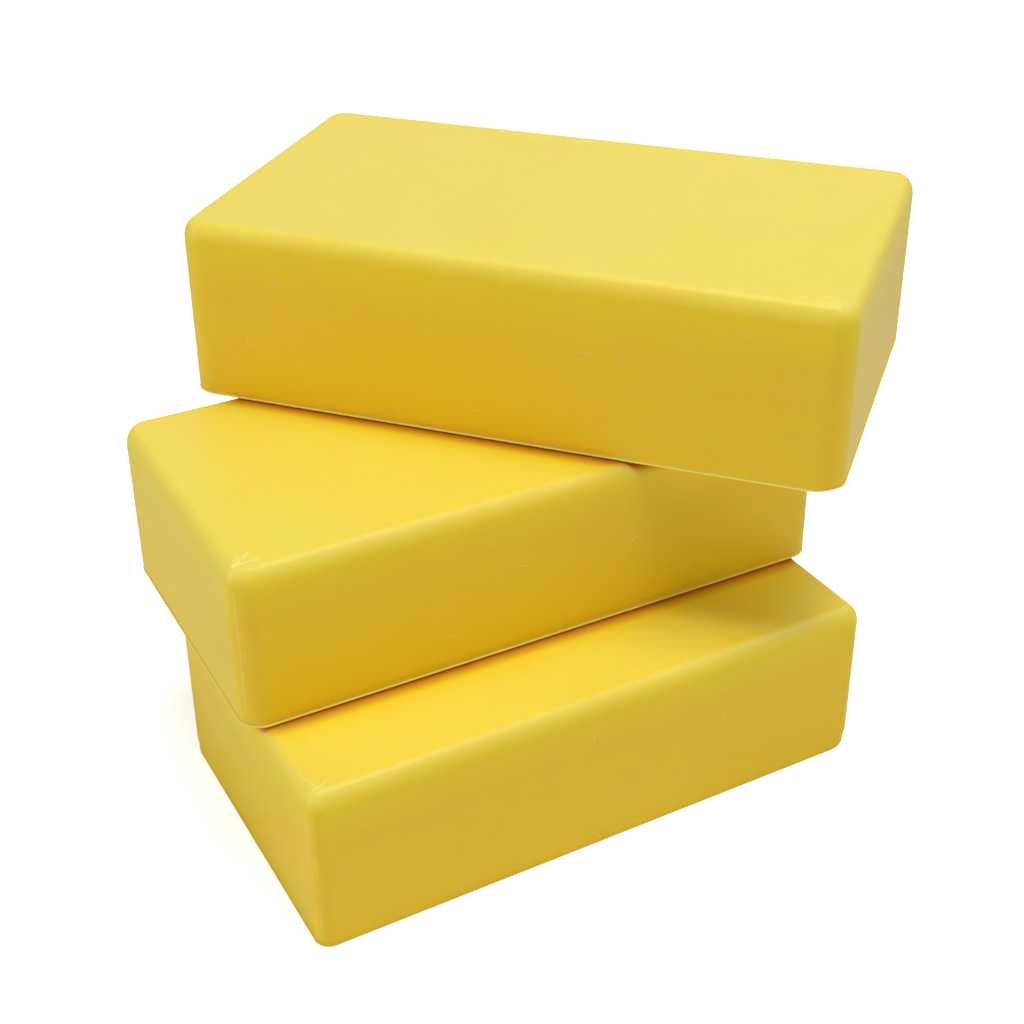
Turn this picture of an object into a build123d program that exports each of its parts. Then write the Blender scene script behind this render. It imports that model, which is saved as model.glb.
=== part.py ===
from build123d import *
import os

# Three beeswax blocks, each cast in an open mould, turned out upside down and stacked loosely.
# The face that stood open in the mould is a block's foot, and the mould's floor shaped its top.
# Millimetres, +Z up. The origin is the middle of the stack's outline in plan, on the surface
# that it stands on, and +X runs along the bottom block.

# Length, width and height of each block. Length and width are over the lip round its foot.
BOTTOM_SIZE = (140.3, 79.2, 40.5)
MIDDLE_SIZE = (146.1, 76.2, 38.8)
TOP_SIZE = (155.4, 87.9, 42.6)

# Radius of each block's upright corners at the foot, and of the round between walls and top.
BOTTOM_RADII = (3.6, 3.2)
MIDDLE_RADII = (5.7, 3.3)
TOP_RADII = (6.3, 2.6)

# Where the two upper blocks were set down: the centre in plan, from the bottom block's centre,
# and the turn about the vertical from the bottom block, in degrees.
MIDDLE_CENTRE = (0.8, 24.3)
MIDDLE_TURN = -0.6
TOP_CENTRE = (32.7, 40.2)
TOP_TURN = -48.1

DRAFT_ANGLE = 0.45  # degrees that each wall leans in towards the top, to leave the mould

# What the wax does as it sets in the open mouth of the mould.
LIP_PROUD = 0.1  # the thin lip where the wax crept out against the mould's brim
LIP_HEIGHT = 0.5
LIP_BEVEL = 0.1
RIM_WIDTH = 7.0  # flat rim that the block rests on, at the middle of each side
DISH_DEPTH = 1.2  # the middle of the foot sinks as the wax shrinks


def tapered_body(length, width, height, corner_radius, top_edge_radius):
    """The wax inside the mould: drafted walls, rounded corners and a rolled top edge."""
    mouth = RectangleRounded(length - 2 * LIP_PROUD, width - 2 * LIP_PROUD, corner_radius)
    body = extrude(mouth, amount=height, taper=DRAFT_ANGLE)
    top_face = body.faces().sort_by(Axis.Z)[-1]
    return fillet(top_face.edges(), top_edge_radius)


def foot_lip(length, width, corner_radius):
    """The thin lip, bevelled above and below, that stands proud of the walls round the foot."""
    outline = RectangleRounded(length, width, corner_radius + LIP_PROUD)
    lip = extrude(outline, amount=LIP_HEIGHT)
    upper_face = lip.faces().sort_by(Axis.Z)[-1]
    lower_face = lip.faces().sort_by(Axis.Z)[0]
    return chamfer(upper_face.edges() + lower_face.edges(), LIP_BEVEL)


def shrinkage_dish(length, width):
    """The shallow oval hollow in the foot: a cap of a large ball, pressed narrower across."""
    half_length = length / 2 - RIM_WIDTH
    half_width = width / 2 - RIM_WIDTH
    ball_radius = (half_length**2 + DISH_DEPTH**2) / (2 * DISH_DEPTH)
    ball = Pos(0, 0, DISH_DEPTH - ball_radius) * Rot(90, 0, 0) * Sphere(ball_radius)
    return scale(ball, by=(1, half_width / half_length, 1))


def cast_block(size, radii):
    """One block, standing on its foot at z = 0 with its centre over the origin."""
    length, width, height = size
    corner_radius, top_edge_radius = radii
    body = tapered_body(length, width, height, corner_radius, top_edge_radius)
    return body + foot_lip(length, width, corner_radius) - shrinkage_dish(length, width)


bottom_top = BOTTOM_SIZE[2]
middle_top = bottom_top + MIDDLE_SIZE[2]
middle_place = Pos(*MIDDLE_CENTRE, bottom_top) * Rot(0, 0, MIDDLE_TURN)
top_place = Pos(*TOP_CENTRE, middle_top) * Rot(0, 0, TOP_TURN)

blocks = {
    "bottom_block": cast_block(BOTTOM_SIZE, BOTTOM_RADII),
    "middle_block": middle_place * cast_block(MIDDLE_SIZE, MIDDLE_RADII),
    "top_block": top_place * cast_block(TOP_SIZE, TOP_RADII),
}

stack_centre = Compound(list(blocks.values())).bounding_box().center()
to_origin = Pos(-stack_centre.X, -stack_centre.Y, 0)

os.makedirs("parts", exist_ok=True)
for name, block in blocks.items():
    placed_block = to_origin * block
    export_step(placed_block, f"parts/{name}.step")
    print(name, "volume", round(placed_block.volume / 1000, 1), "cm3, centre", placed_block.center())
print("shift to the origin", to_origin.position)
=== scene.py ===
import random
from math import cos, exp, pi, radians, sin, tan

import bmesh
import bpy
import numpy as np
from mathutils import Matrix, Vector
from mathutils.bvhtree import BVHTree


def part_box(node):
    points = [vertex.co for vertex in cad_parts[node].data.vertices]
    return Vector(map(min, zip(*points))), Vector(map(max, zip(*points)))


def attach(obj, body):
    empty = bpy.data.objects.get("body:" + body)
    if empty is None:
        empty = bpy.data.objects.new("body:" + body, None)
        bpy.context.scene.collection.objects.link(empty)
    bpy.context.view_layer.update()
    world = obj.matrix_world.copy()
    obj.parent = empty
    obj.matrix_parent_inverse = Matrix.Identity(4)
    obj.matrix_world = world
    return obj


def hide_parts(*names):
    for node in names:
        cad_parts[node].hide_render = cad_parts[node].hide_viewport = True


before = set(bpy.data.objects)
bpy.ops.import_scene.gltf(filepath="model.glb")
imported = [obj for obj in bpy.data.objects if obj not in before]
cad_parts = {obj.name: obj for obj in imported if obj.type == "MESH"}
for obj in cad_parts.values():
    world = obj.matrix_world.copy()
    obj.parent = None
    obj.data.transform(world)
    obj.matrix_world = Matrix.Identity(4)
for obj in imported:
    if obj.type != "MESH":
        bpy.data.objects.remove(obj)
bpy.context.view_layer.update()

MM = 0.001

# Millimetres and degrees: each block's length and width over the lip round its foot, the radius
# of its upright corners, how far its rolled top edge reaches in, the depth of the groove above
# its lip (the bottom block's lip is rubbed down), and its turn about the vertical.
BLOCKS = {
    "bottom_block": {
        "length": 140.3, "width": 79.2, "corner": 3.6, "top_edge": 3.3, "groove": 0.06,
        "turn": 0.0, "seed": 3,
    },
    "middle_block": {
        "length": 146.1, "width": 76.2, "corner": 5.7, "top_edge": 3.3, "groove": 0.25,
        "turn": -0.6, "seed": 11,
    },
    "top_block": {
        "length": 155.4, "width": 87.9, "corner": 6.3, "top_edge": 3.2, "groove": 0.25,
        "turn": -48.1, "seed": 23,
    },
}
TOP_EDGE_DROP = 1.5  # how far the rolled top edge comes down, in times its reach
DRAFT_ANGLE = 0.45
LIP_PROUD = 0.1 * MM
LIP_HEIGHT = 0.75 * MM
FOOT_UNDERCUT = 0.6 * MM
RIM_WIDTH = 7.0 * MM
DISH_DEPTH = 1.2 * MM
WAVE_DEPTH = 0.08 * MM
WAVE_SIZE = 30 * MM

LEFT, RIGHT = -1, 1

# The knocked top corners of each front: the corner, how many cracks it has and how many
# millimetres they start from it at most.
KNOCKED_CORNERS = {
    "bottom_block": [(LEFT, 2, 6)],
    "middle_block": [(LEFT, 3, 6)],
    "top_block": [(LEFT, 1, 12), (RIGHT, 4, 8)],
}

# The raised seam that the mould's joint leaves down a front corner: the corner, its place round
# the corner in degrees from the end wall, and how proud it stands in millimetres.
SEAMS = {
    "bottom_block": (LEFT, 45, 0.06),
    "middle_block": (LEFT, 35, 0.10),
    "top_block": (RIGHT, 5, 0.09),
}
SEAM_TOP = 4.5  # millimetres below the block's top at which a seam starts
SEAM_FOOT = 4.0  # and above its foot at which it ends
FINE_LINE = 0.09  # half the width of a seam or a scratch, in millimetres
SCRATCH_DEPTH = 0.05

# How many nicks and pinholes the front wall has, and how many faint scratches the top has.
NICKS = {"bottom_block": 6, "middle_block": 9, "top_block": 11}
SCRATCHES = {"bottom_block": 0, "middle_block": 0, "top_block": 5}

# A mark's cut and its burrs in times its depth; the place and spread of the burrs, and the
# mark's whole reach, in times its half width; and the depth in millimetres from which the
# broken wax in it is quite pale.
CUT_FALL = 0.7
BURR_RISE = 0.28
BURR_PLACE = 1.5
BURR_SPREAD = 0.6
MARK_REACH = 3
PALE_DEPTH = 0.16

# Foot corners rounded by handling: the corner, how far round it the wax is worn, and the push.
WORN_CORNERS = {
    "bottom_block": [
        ((69.5, -39.0, 0.0), 5.0, (-0.4, 0.4, 0.7)),
        ((-69.5, 39.0, 0.0), 5.0, (0.4, -0.4, 0.7)),
    ],
    "middle_block": [((-72.5, -37.5, 0.0), 3.0, (0.1, 0.1, 0.3))],
    "top_block": [
        ((75.5, -42.0, 0.0), 4.5, (0.0, 0.0, 0.4)),
        ((76.5, 43.0, 0.0), 5.0, (-0.4, -0.4, 0.6)),
    ],
}


def linear(hex_colour):
    """sRGB hex, such as "#F2D545", to a linear RGBA colour."""
    channels = [int(hex_colour[start:start + 2], 16) / 255 for start in (1, 3, 5)]
    return tuple(c / 12.92 if c <= 0.04045 else ((c + 0.055) / 1.055) ** 2.4 for c in channels) + (1,)


def add(tree, kind, *sources, **settings):
    """Adds a node with its settings, and fills its sockets in order with values or links."""
    node = tree.nodes.new(kind)
    for name, value in settings.items():
        setattr(node, name, value)
    for place, source in enumerate(sources):
        if isinstance(source, bpy.types.NodeSocket):
            tree.links.new(source, node.inputs[place])
        elif source is not None:
            node.inputs[place].default_value = source
    return node.outputs[0] if node.outputs else node


# --- the shape of a cast block ---------------------------------------------------------------

def cast_block_tree():
    """A cube whose grid is laid onto a block: drafted walls, round corners, rolled top, lipped foot."""
    tree = bpy.data.node_groups.new("Cast wax block", "GeometryNodeTree")
    sizes = ("Length", "Width", "Height", "Draft Slope", "Corner Radius", "Top Edge Reach", "Top Edge Drop",
             "Lip Proud", "Lip Height", "Lip Groove", "Foot Undercut", "Rim Width", "Dish Depth",
             "Wave Depth", "Wave Size", "Seed")
    for name in sizes:
        tree.interface.new_socket(name, in_out="INPUT", socket_type="NodeSocketFloat")
    tree.interface.new_socket("Wax", in_out="INPUT", socket_type="NodeSocketMaterial")
    tree.interface.new_socket("Block", in_out="OUTPUT", socket_type="NodeSocketGeometry")
    group_input = tree.nodes.new("NodeGroupInput")
    value = {socket.name: socket for socket in group_input.outputs}
    math, vector = "ShaderNodeMath", "ShaderNodeVectorMath"

    columns_x, columns_y, levels = 97, 65, 65
    lip_end, roll_start = -0.75, 0.5  # of the levels, which run from -1 at the foot to 1 at the top
    crowding = 1.6
    groove_rise = 1 * MM  # over which the groove above the lip runs out

    cube = add(tree, "GeometryNodeMeshCube", (2, 2, 2), columns_x, columns_y, levels)
    grid = add(tree, "GeometryNodeInputPosition")
    separate = tree.nodes.new("ShaderNodeSeparateXYZ")
    tree.links.new(grid, separate.inputs[0])
    level = separate.outputs[2]

    # The grid crowds towards the corners, where the shape turns.
    from_middle = add(tree, vector, grid, operation="ABSOLUTE")
    from_edge = add(tree, vector, (1, 1, 1), from_middle, operation="SUBTRACT")
    crowded = add(tree, vector, from_edge, (crowding,) * 3, operation="POWER")
    spread = add(tree, vector, (1, 1, 1), crowded, operation="SUBTRACT")
    spread = add(tree, vector, spread, add(tree, vector, grid, operation="SIGN"), operation="MULTIPLY")

    # From the foot up, the levels run round the lip, up the wall and over the top edge.
    round_lip = add(tree, "ShaderNodeMapRange", level, -1.0, lip_end, 0.0, pi)
    up_wall = add(tree, "ShaderNodeMapRange", level, lip_end, roll_start, 0.0, 1.0)
    over_edge = add(tree, "ShaderNodeMapRange", level, roll_start, 1.0, 0.0, pi / 2)
    wall_height = add(tree, math, value["Height"], value["Top Edge Drop"], operation="SUBTRACT")
    wall_height = add(tree, math, wall_height, value["Lip Height"], operation="SUBTRACT")
    wall_rise = add(tree, math, up_wall, wall_height, operation="MULTIPLY")
    lip_turn = add(tree, math, 1.0, add(tree, math, round_lip, operation="COSINE"), operation="SUBTRACT")
    lip_rise = add(tree, math, lip_turn, add(tree, math, value["Lip Height"], 0.5, operation="MULTIPLY"),
                   operation="MULTIPLY")
    roll_rise = add(tree, math, value["Top Edge Drop"], add(tree, math, over_edge, operation="SINE"),
                    operation="MULTIPLY")
    rise = add(tree, math, lip_rise, wall_rise, operation="ADD")
    rise = add(tree, math, rise, roll_rise, operation="ADD")

    # How far each level stands in from the lip's edge.
    lip_in = add(tree, math, 1.0, add(tree, math, round_lip, operation="SINE"), operation="SUBTRACT")
    under_edge = add(tree, math, round_lip, pi / 2, operation="LESS_THAN")
    cut = add(tree, "ShaderNodeMix", under_edge, None, value["Lip Groove"], value["Foot Undercut"])
    lip_reach = add(tree, math, value["Lip Proud"], cut, operation="ADD")
    lip_in = add(tree, math, lip_in, lip_reach, operation="MULTIPLY")
    groove_share = add(tree, math, wall_rise, groove_rise, operation="DIVIDE")
    groove_share = add(tree, math, groove_share, 1.0, operation="MINIMUM")
    groove_out = add(tree, math, groove_share, value["Lip Groove"], operation="MULTIPLY")
    lip_in = add(tree, math, lip_in, groove_out, operation="SUBTRACT")
    roll_turn = add(tree, math, 1.0, add(tree, math, over_edge, operation="COSINE"), operation="SUBTRACT")
    roll_in = add(tree, math, roll_turn, value["Top Edge Reach"], operation="MULTIPLY")
    draft_in = add(tree, math, wall_rise, value["Draft Slope"], operation="MULTIPLY")
    inset = add(tree, math, add(tree, math, lip_in, draft_in, operation="ADD"), roll_in, operation="ADD")

    # In plan, what passes the corner centres is laid round them on an arc.
    half = add(tree, "ShaderNodeCombineXYZ", add(tree, math, value["Length"], 0.5, operation="MULTIPLY"),
               add(tree, math, value["Width"], 0.5, operation="MULTIPLY"))
    inset_plan = add(tree, "ShaderNodeCombineXYZ", inset, inset)
    outer = add(tree, vector, half, inset_plan, operation="SUBTRACT")
    square = add(tree, vector, spread, outer, operation="MULTIPLY")
    radius = add(tree, math, value["Corner Radius"], value["Lip Proud"], operation="ADD")
    radius_plan = add(tree, "ShaderNodeCombineXYZ", radius, radius)
    centre = add(tree, vector, half, radius_plan, operation="SUBTRACT")
    far_centre = add(tree, vector, centre, (-1, -1, -1), operation="MULTIPLY")
    held = add(tree, vector, add(tree, vector, square, centre, operation="MINIMUM"), far_centre,
               operation="MAXIMUM")
    beyond = add(tree, vector, square, held, operation="SUBTRACT")
    reach_parts = tree.nodes.new("ShaderNodeSeparateXYZ")
    tree.links.new(add(tree, vector, beyond, operation="ABSOLUTE"), reach_parts.inputs[0])
    reach = add(tree, math, reach_parts.outputs[0], reach_parts.outputs[1], operation="MAXIMUM")
    round_corner = tree.nodes.new(vector)
    round_corner.operation = "SCALE"
    tree.links.new(add(tree, vector, beyond, operation="NORMALIZE"), round_corner.inputs[0])
    tree.links.new(reach, round_corner.inputs["Scale"])
    plan = add(tree, vector, held, round_corner.outputs[0], operation="ADD")

    # The foot sinks in a shallow oval dish.
    rim = add(tree, "ShaderNodeCombineXYZ", value["Rim Width"], value["Rim Width"], -1.0)
    dish_half = add(tree, vector, half, rim, operation="SUBTRACT")
    in_dish = add(tree, vector, plan, dish_half, operation="DIVIDE")
    dish_dot = tree.nodes.new(vector)
    dish_dot.operation = "DOT_PRODUCT"
    tree.links.new(in_dish, dish_dot.inputs[0])
    tree.links.new(in_dish, dish_dot.inputs[1])
    sink = add(tree, math, 1.0, dish_dot.outputs["Value"], operation="SUBTRACT")
    sink = add(tree, math, add(tree, math, sink, 0.0, operation="MAXIMUM"), value["Dish Depth"],
               operation="MULTIPLY")
    in_foot = add(tree, math, level, -0.999, operation="LESS_THAN")
    sink = add(tree, math, sink, in_foot, operation="MULTIPLY")
    height = add(tree, math, rise, sink, operation="ADD")

    placed = add(tree, vector, plan, add(tree, "ShaderNodeCombineXYZ", 0.0, 0.0, height), operation="ADD")
    block = add(tree, "GeometryNodeSetPosition", cube, None, placed)

    # Wax cools unevenly, so no face is quite flat. The waves only cut in from the mould's size.
    wave_scale = add(tree, math, 1.0, value["Wave Size"], operation="DIVIDE")
    wave = add(tree, "ShaderNodeTexNoise", None, value["Seed"], wave_scale, 1.0, 0.4, noise_dimensions="4D")
    wave = add(tree, math, wave, 0.3, operation="ADD")
    wave_in = add(tree, math, wave, value["Wave Depth"], operation="MULTIPLY")
    wave_in = add(tree, math, wave_in, -1.0, operation="MULTIPLY")
    push = tree.nodes.new(vector)
    push.operation = "SCALE"
    tree.links.new(add(tree, "GeometryNodeInputNormal"), push.inputs[0])
    tree.links.new(wave_in, push.inputs["Scale"])
    block = add(tree, "GeometryNodeSetPosition", block, None, None, push.outputs[0])
    block = add(tree, "GeometryNodeSetShadeSmooth", block)
    block = add(tree, "GeometryNodeRealizeInstances", block)
    block = add(tree, "GeometryNodeSetMaterial", block, None, value["Wax"])
    add(tree, "NodeGroupOutput", block)
    return tree


def corner_cracks(node, height):
    """Short cracks that wander over the top edge near a knocked corner."""
    chance = random.Random(BLOCKS[node]["seed"] + 2)
    half_length, half_width = BLOCKS[node]["length"] / 2, BLOCKS[node]["width"] / 2
    marks = []
    for corner, count, spread in KNOCKED_CORNERS[node]:
        for _ in range(count):
            along, across = chance.uniform(1, spread), chance.uniform(1, spread)
            heading = chance.uniform(-pi, pi)
            line = []
            for _ in range(4):
                line.append((corner * (half_length - along), across - half_width, height))
                step = chance.uniform(1.2, 2.4)
                along += step * cos(heading)
                across += step * sin(heading)
                heading += chance.uniform(-0.7, 0.7)
            marks.append((chance.uniform(0.10, 0.17), chance.uniform(0.09, 0.15), line))
    return marks


def mould_seam(node, height):
    """A raised line down the round of a front corner; its depth is below zero."""
    corner, degrees, proud = SEAMS[node]
    radius = BLOCKS[node]["corner"]
    along = BLOCKS[node]["length"] / 2 - radius * (1 - cos(radians(degrees)))
    across = radius * (1 - sin(radians(degrees))) - BLOCKS[node]["width"] / 2
    line = [(corner * along, across, height - SEAM_TOP), (corner * along, across, SEAM_FOOT)]
    return [(FINE_LINE, -proud, line)]


def nicks(node, height):
    """Short nicks and pinholes over the front wall."""
    chance = random.Random(BLOCKS[node]["seed"])
    half_length, half_width = BLOCKS[node]["length"] / 2, BLOCKS[node]["width"] / 2
    marks = []
    for number in range(NICKS[node]):
        along = chance.uniform(-0.85, 0.85) * half_length
        up = chance.uniform(6, height - 6)
        lean = chance.uniform(0, pi)
        length = 0.4 if number % 2 else chance.uniform(1, 2.5)
        end = (along + length * cos(lean), -half_width, up + length * sin(lean))
        line = [(along, -half_width, up), end]
        marks.append((chance.uniform(0.09, 0.13), chance.uniform(0.06, 0.10), line))
    return marks


def scratches(node, height):
    """Long faint scratches that run nearly along the top."""
    chance = random.Random(BLOCKS[node]["seed"] + 1)
    marks = []
    for number in range(SCRATCHES[node]):
        along, across = chance.uniform(-50, 30), chance.uniform(-8, 8)
        length, drift = chance.uniform(6, 24), chance.uniform(0, 3)
        line = [(along, across, height), (along + length, across + drift, height)]
        marks.append((FINE_LINE, SCRATCH_DEPTH, line))
    return marks


def distance_to_line(points, line):
    """How far each point lies from a line of straight runs."""
    nearest = np.full(len(points), np.inf)
    for start, end in zip(line[:-1], line[1:]):
        run = end - start
        share = np.clip((points - start) @ run / (run @ run), 0, 1)
        gap = points - start - share[:, None] * run
        nearest = np.minimum(nearest, np.linalg.norm(gap, axis=1))
    return nearest


def refine(shape, lines, longest_edge, reach):
    """Splits the long edges that pass near the lines."""
    edges = list(shape.edges)
    starts = np.array([edge.verts[0].co for edge in edges])
    ends = np.array([edge.verts[1].co for edge in edges])
    lengths = np.linalg.norm(ends - starts, axis=1)
    nearest = np.min([distance_to_line((starts + ends) / 2, line) for line in lines], axis=0)
    chosen = np.nonzero((lengths > longest_edge) & (nearest < reach + lengths / 2))[0]
    bmesh.ops.subdivide_edges(shape, edges=[edges[index] for index in chosen], cuts=1, use_grid_fill=True)


def wear(mesh, marks, worn_corners):
    """Cuts the marks into the block, each a fine groove between burrs, and rounds the worn corners."""
    shape = bmesh.new()
    shape.from_mesh(mesh)
    surface = BVHTree.FromBMesh(shape)
    lines = []
    for half_width, depth, points in marks:
        lines.append(np.array([surface.find_nearest(Vector(point) * MM)[0] for point in points]))
    beside_line = 0.5 * MM
    for longest_edge in (0.8, 0.4, 0.2, 0.1):
        refine(shape, lines, longest_edge * MM, beside_line)
    many_sided = [face for face in shape.faces if len(face.verts) > 4]
    bmesh.ops.triangulate(shape, faces=many_sided)
    shape.normal_update()
    scuff = shape.verts.layers.float.new("scuff")
    vertices = list(shape.verts)
    places = np.array([vertex.co for vertex in vertices])
    for (half_width, depth, points), line in zip(marks, lines):
        across = distance_to_line(places, line) / (half_width * MM)
        for index in np.nonzero(across < MARK_REACH)[0]:
            groove = exp(-across[index] ** 2)
            burr = exp(-((across[index] - BURR_PLACE) / BURR_SPREAD) ** 2)
            rise = (BURR_RISE * burr - CUT_FALL * groove) * depth * MM
            vertices[index].co += vertices[index].normal * rise
            broken = (groove + 0.5 * burr) * min(1.0, abs(depth) / PALE_DEPTH) ** 1.5
            vertices[index][scuff] = min(1.0, vertices[index][scuff] + broken)
    for corner, reach, push in worn_corners:
        across = np.linalg.norm(places - np.array(corner) * MM, axis=1) / (reach * MM)
        for index in np.nonzero(across < 1)[0]:
            vertices[index].co += Vector(push) * MM * (1 - across[index] ** 2) ** 2
    shape.to_mesh(mesh)
    shape.free()


def cast_block(tree, node, wax):
    """One block as a plain mesh, lying where its CAD node lies."""
    low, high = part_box(node)
    size = BLOCKS[node]
    maker = bpy.data.objects.new("maker", bpy.data.meshes.new("maker"))
    bpy.context.scene.collection.objects.link(maker)
    modifier = maker.modifiers.new("Cast wax block", "NODES")
    modifier.node_group = tree
    values = {
        "Length": size["length"] * MM, "Width": size["width"] * MM, "Height": high.z - low.z,
        "Draft Slope": tan(radians(DRAFT_ANGLE)), "Corner Radius": size["corner"] * MM,
        "Top Edge Reach": size["top_edge"] * MM, "Top Edge Drop": TOP_EDGE_DROP * size["top_edge"] * MM,
        "Lip Proud": LIP_PROUD, "Lip Height": LIP_HEIGHT, "Lip Groove": size["groove"] * MM,
        "Foot Undercut": FOOT_UNDERCUT, "Rim Width": RIM_WIDTH, "Dish Depth": DISH_DEPTH,
        "Wave Depth": WAVE_DEPTH, "Wave Size": WAVE_SIZE,
        "Seed": float(size["seed"]), "Wax": wax,
    }
    for socket in tree.interface.items_tree:
        if socket.in_out == "INPUT":
            modifier[socket.identifier] = values[socket.name]
    bpy.context.view_layer.update()
    graph = bpy.context.evaluated_depsgraph_get()
    mesh = bpy.data.meshes.new_from_object(maker.evaluated_get(graph))
    bpy.data.objects.remove(maker)
    height = (high.z - low.z) / MM
    marks = corner_cracks(node, height) + mould_seam(node, height)
    marks += nicks(node, height) + scratches(node, height)
    wear(mesh, marks, WORN_CORNERS[node])
    places = np.empty(len(mesh.vertices) * 3, np.float32)
    mesh.vertices.foreach_get("co", places)
    in_mould = mesh.attributes.new("in_mould", "FLOAT_VECTOR", "POINT")
    in_mould.data.foreach_set("vector", places)
    centre = (low + high) / 2
    turn = Matrix.Rotation(radians(size["turn"]), 4, "Z")
    mesh.transform(Matrix.Translation((centre.x, centre.y, low.z)) @ turn)
    block = bpy.data.objects.new("wax_" + node, mesh)
    bpy.context.scene.collection.objects.link(block)
    return block


# --- finishes --------------------------------------------------------------------------------

def cast_beeswax():
    # Filtered beeswax poured into a smooth mould: the eye meets an even satin skin over soft,
    # saturated yellow. A painted pale sheen lightens the faces that point up to open sky; painted
    # light brightens the walls below the rolled top edge, and painted orange shade lies under the
    # blocks' edges; drawing from the mould leaves faint level lines on the walls; broken wax, in
    # nicks and scratches, turns pale and dull.
    wax = bpy.data.materials.new("cast beeswax")
    wax.use_nodes = True
    tree = wax.node_tree
    tree.nodes.clear()
    place = add(tree, "ShaderNodeAttribute", attribute_name="in_mould")
    rise = tree.nodes.new("ShaderNodeSeparateXYZ")
    tree.links.new(place, rise.inputs[0])

    surface = tree.nodes.new("ShaderNodeTexCoord")
    facing = tree.nodes.new("ShaderNodeSeparateXYZ")
    tree.links.new(surface.outputs["Normal"], facing.inputs[0])
    # Painted sheen and shade: faces that point up are paled towards #F9E152, a painted sheen for the light
    # on the tops. Where ambient occlusion within 18 mm finds shade, the sheen fades and leaves the deeper
    # wall colour as painted shade.
    upward_facing = add(tree, "ShaderNodeMapRange", facing.outputs[2], 0.1, 0.65, 0.0, 1.0)
    wide_open_sky = add(tree, "ShaderNodeAmbientOcclusion", None, 18 * MM, samples=8)
    wide_open_sky = add(tree, "ShaderNodeMapRange", wide_open_sky, 0.56, 0.82, 0.0, 1.0)
    painted_top_sheen = add(tree, "ShaderNodeMath", upward_facing, wide_open_sky, operation="MULTIPLY")
    # Painted light: the wall colour grows lighter, to #FFDA0C, from 27 mm to 37 mm up the block, standing
    # for light let in through the rolled top edge.
    painted_light_under_roll = add(tree, "ShaderNodeMapRange", rise.outputs[2], 27 * MM, 37 * MM, 0.0, 1.0)
    wall = add(tree, "ShaderNodeMixRGB", painted_light_under_roll, linear("#F7D114"), linear("#FFDA0C"))
    colour = add(tree, "ShaderNodeMixRGB", painted_top_sheen, wall, linear("#F9E152"))

    # Painted shade: where ambient occlusion within 6 mm finds a block's edge close above, upward
    # faces are pushed to dark orange, standing for shade lit only by light come through wax.
    open_sky = add(tree, "ShaderNodeAmbientOcclusion", None, 6 * MM, samples=8)
    painted_crevice_shade = add(tree, "ShaderNodeMapRange", open_sky, 0.54, 0.86, 1.0, 0.0)
    painted_crevice_shade = add(tree, "ShaderNodeMath", painted_crevice_shade, upward_facing, operation="MULTIPLY")
    colour = add(tree, "ShaderNodeMixRGB", painted_crevice_shade, colour, linear("#B84A00"))

    # Clouds of slightly deeper wax, a few centimetres wide.
    cloud = add(tree, "ShaderNodeTexNoise", place, None, 1 / (22 * MM), 3.0, 0.55)
    cloud = add(tree, "ShaderNodeMapRange", cloud, 0.35, 0.65, 0.0, 0.10)
    colour = add(tree, "ShaderNodeMixRGB", cloud, colour, linear("#EFC408"))

    # Level lines from drawing: a third of a millimetre high and a few centimetres long.
    drawn = add(tree, "ShaderNodeVectorMath", place, (1 / (30 * MM), 1 / (30 * MM), 1 / (0.35 * MM)),
                operation="MULTIPLY")
    drawn = add(tree, "ShaderNodeTexNoise", drawn, None, 1.0, 2.0, 0.5)
    drawn_tint = add(tree, "ShaderNodeMapRange", drawn, 0.4, 0.75, 0.0, 0.08)
    colour = add(tree, "ShaderNodeMixRGB", drawn_tint, colour, linear("#FBE36A"))

    # Grain of the wax crystals, two tenths of a millimetre across.
    grain = add(tree, "ShaderNodeTexNoise", place, None, 1 / (0.25 * MM), 2.0, 0.6)
    grain_tint = add(tree, "ShaderNodeMapRange", grain, 0.3, 0.7, 0.0, 0.10)
    colour = add(tree, "ShaderNodeMixRGB", grain_tint, colour, linear("#E9BE10"))

    scuff = tree.nodes.new("ShaderNodeAttribute")
    scuff.attribute_name = "scuff"
    colour = add(tree, "ShaderNodeMixRGB", scuff.outputs["Fac"], colour, linear("#FFF1A8"))
    roughness = add(tree, "ShaderNodeMapRange", scuff.outputs["Fac"], 0.0, 1.0, 0.42, 0.8)

    relief = add(tree, "ShaderNodeMath", drawn, grain, operation="ADD")
    relief = add(tree, "ShaderNodeBump", 0.5, 0.006 * MM, None, relief)

    # The thin lip round the foot chilled against the brim: little light passes down into it. Its
    # colour is lightened as a painted highlight, but not on the lowest block, near the floor.
    depth_lit = add(tree, "ShaderNodeMapRange", rise.outputs[2], 0.65 * MM, 0.9 * MM, 0.15, 1.0)
    stood = tree.nodes.new("ShaderNodeSeparateXYZ")
    tree.links.new(surface.outputs["Object"], stood.inputs[0])
    off_bench = add(tree, "ShaderNodeMapRange", stood.outputs[2], 5 * MM, 10 * MM, 0.0, 1.0)
    painted_lip_highlight = add(tree, "ShaderNodeMapRange", rise.outputs[2], 0.6 * MM, 0.8 * MM, 1.0, 0.0)
    painted_lip_highlight = add(tree, "ShaderNodeMath", painted_lip_highlight, off_bench, operation="MULTIPLY")
    colour = add(tree, "ShaderNodeMixRGB", painted_lip_highlight, colour, linear("#FFEA5C"))

    shader = tree.nodes.new("ShaderNodeBsdfPrincipled")
    tree.links.new(colour, shader.inputs["Base Color"])
    tree.links.new(roughness, shader.inputs["Roughness"])
    tree.links.new(relief, shader.inputs["Normal"])
    shader.inputs["IOR"].default_value = 1.39
    tree.links.new(depth_lit, shader.inputs["Subsurface Weight"])
    shader.inputs["Subsurface Radius"].default_value = (1.0, 0.5, 0.15)
    shader.inputs["Subsurface Scale"].default_value = 0.8 * MM
    add(tree, "ShaderNodeOutputMaterial", shader.outputs[0])
    return wax


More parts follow.
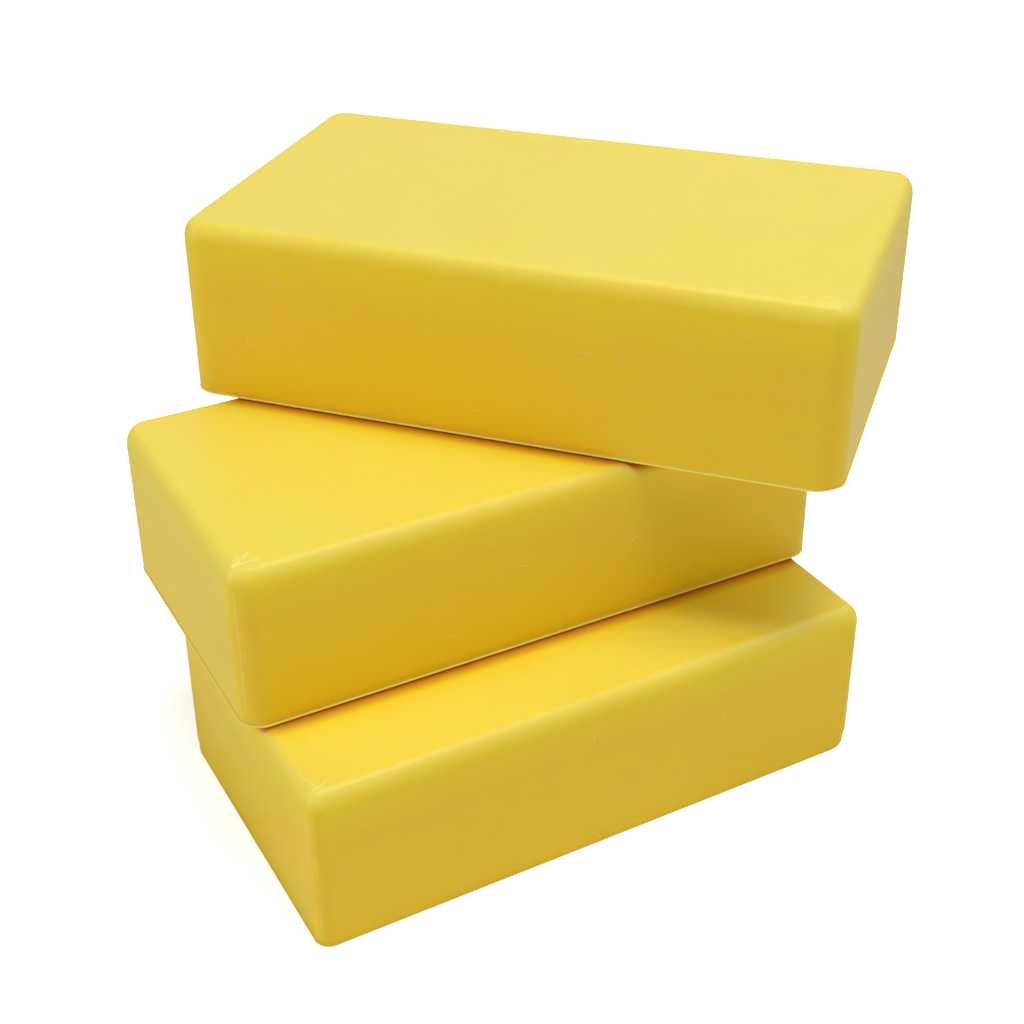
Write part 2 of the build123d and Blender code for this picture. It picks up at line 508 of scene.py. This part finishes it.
# --- camera, floor and light -----------------------------------------------------------------

bottom_low, bottom_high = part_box("bottom_block")
bottom_centre = (bottom_low + bottom_high) / 2

AZIMUTH, ELEVATION, ROLL = radians(-28.54), radians(31.51), radians(-0.49)
DISTANCE = 371.4 * MM
LENS = 58.14
aim_along = -1.8 * MM
aim = Vector((bottom_centre.x, bottom_centre.y, 66.5 * MM))
aim += Vector((cos(AZIMUTH), sin(AZIMUTH), 0)) * aim_along
backward = Vector((sin(AZIMUTH) * cos(ELEVATION), -cos(AZIMUTH) * cos(ELEVATION), sin(ELEVATION)))

camera = bpy.data.objects.new("camera", bpy.data.cameras.new("camera"))
bpy.context.scene.collection.objects.link(camera)
camera.data.lens = LENS
camera.data.sensor_width = 36
camera.data.clip_start = 0.01
camera.location = aim + backward * DISTANCE
facing = backward.to_track_quat("Z", "Y").to_matrix().to_4x4()
camera.rotation_euler = (facing @ Matrix.Rotation(ROLL, 4, "Z")).to_euler()
bpy.context.scene.camera = camera


def white_floor():
    mesh = bpy.data.meshes.new("floor")
    reach = 3.0
    corners = [(-reach, -reach, 0), (reach, -reach, 0), (reach, reach, 0), (-reach, reach, 0)]
    mesh.from_pydata(corners, [], [(0, 1, 2, 3)])
    floor = bpy.data.objects.new("floor", mesh)
    bpy.context.scene.collection.objects.link(floor)
    paper = bpy.data.materials.new("white paper")
    paper.use_nodes = True
    tree = paper.node_tree
    tree.nodes.clear()
    matt = add(tree, "ShaderNodeBsdfDiffuse", linear("#F2F2F2"))

    # Further out, where the lamps don't reach, the paper is lifted more, so that it ends in white.
    spot = tree.nodes.new("ShaderNodeTexCoord")
    far_off = tree.nodes.new("ShaderNodeVectorMath")
    far_off.operation = "LENGTH"
    tree.links.new(spot.outputs["Object"], far_off.inputs[0])
    lift = add(tree, "ShaderNodeMapRange", far_off.outputs["Value"], 0.25, 1.0, 0.66, 1.0)
    glow = add(tree, "ShaderNodeEmission", (1, 1, 1, 1), lift)
    path = tree.nodes.new("ShaderNodeLightPath")
    seen = add(tree, "ShaderNodeMath", path.outputs["Is Camera Ray"], path.outputs["Is Transmission Ray"],
               operation="MAXIMUM")
    lifted = add(tree, "ShaderNodeAddShader", matt, glow)
    mixed = add(tree, "ShaderNodeMixShader", seen, matt, lifted)
    add(tree, "ShaderNodeOutputMaterial", mixed)
    floor.data.materials.append(paper)


def studio_world():
    world = bpy.data.worlds.new("studio")
    bpy.context.scene.world = world
    world.use_nodes = True
    tree = world.node_tree
    tree.nodes.clear()
    path = tree.nodes.new("ShaderNodeLightPath")
    mirrored = add(tree, "ShaderNodeMath", path.outputs["Is Glossy Ray"], 0.78, operation="MULTIPLY")
    room = add(tree, "ShaderNodeBackground", (1, 1, 1, 1), mirrored)
    white = add(tree, "ShaderNodeBackground", (1, 1, 1, 1), 1.0)
    seen = add(tree, "ShaderNodeMath", path.outputs["Is Camera Ray"], path.outputs["Is Transmission Ray"],
               operation="MAXIMUM")
    add(tree, "ShaderNodeOutputWorld", add(tree, "ShaderNodeMixShader", seen, room, white))


def softbox(name, azimuth, elevation, distance, size, power):
    """A square soft light turned to the stack; its azimuth runs from the camera's side."""
    around = AZIMUTH + radians(azimuth)
    up = radians(elevation)
    towards = Vector((sin(around) * cos(up), -cos(around) * cos(up), sin(up)))
    lamp = bpy.data.lights.new(name, "AREA")
    lamp.shape = "SQUARE"
    lamp.size = size
    lamp.energy = power
    lamp_object = bpy.data.objects.new(name, lamp)
    lamp_object.location = aim + towards * distance
    lamp_object.rotation_euler = towards.to_track_quat("Z", "Y").to_euler()
    bpy.context.scene.collection.objects.link(lamp_object)


white_floor()
studio_world()
softbox("overhead softbox", 90, 89, 1.6, 0.6, 10.3)
softbox("overhead right softbox", 90, 76, 1.6, 0.6, 5.1)
softbox("right softbox", 77, 47, 1.2, 0.9, 4.5)
softbox("back softbox", 176, 52, 1.2, 0.6, 1.4)
softbox("low left softbox", -80, 12, 1.2, 0.45, 4.0)
softbox("low front softbox", -12, 12, 1.2, 0.45, 2.6)

bpy.context.scene.view_settings.view_transform = "Standard"

# --- the blocks ------------------------------------------------------------------------------

wax = cast_beeswax()
tree = cast_block_tree()
for node in BLOCKS:
    block = cast_block(tree, node, wax)
    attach(block, node)
    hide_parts(node)
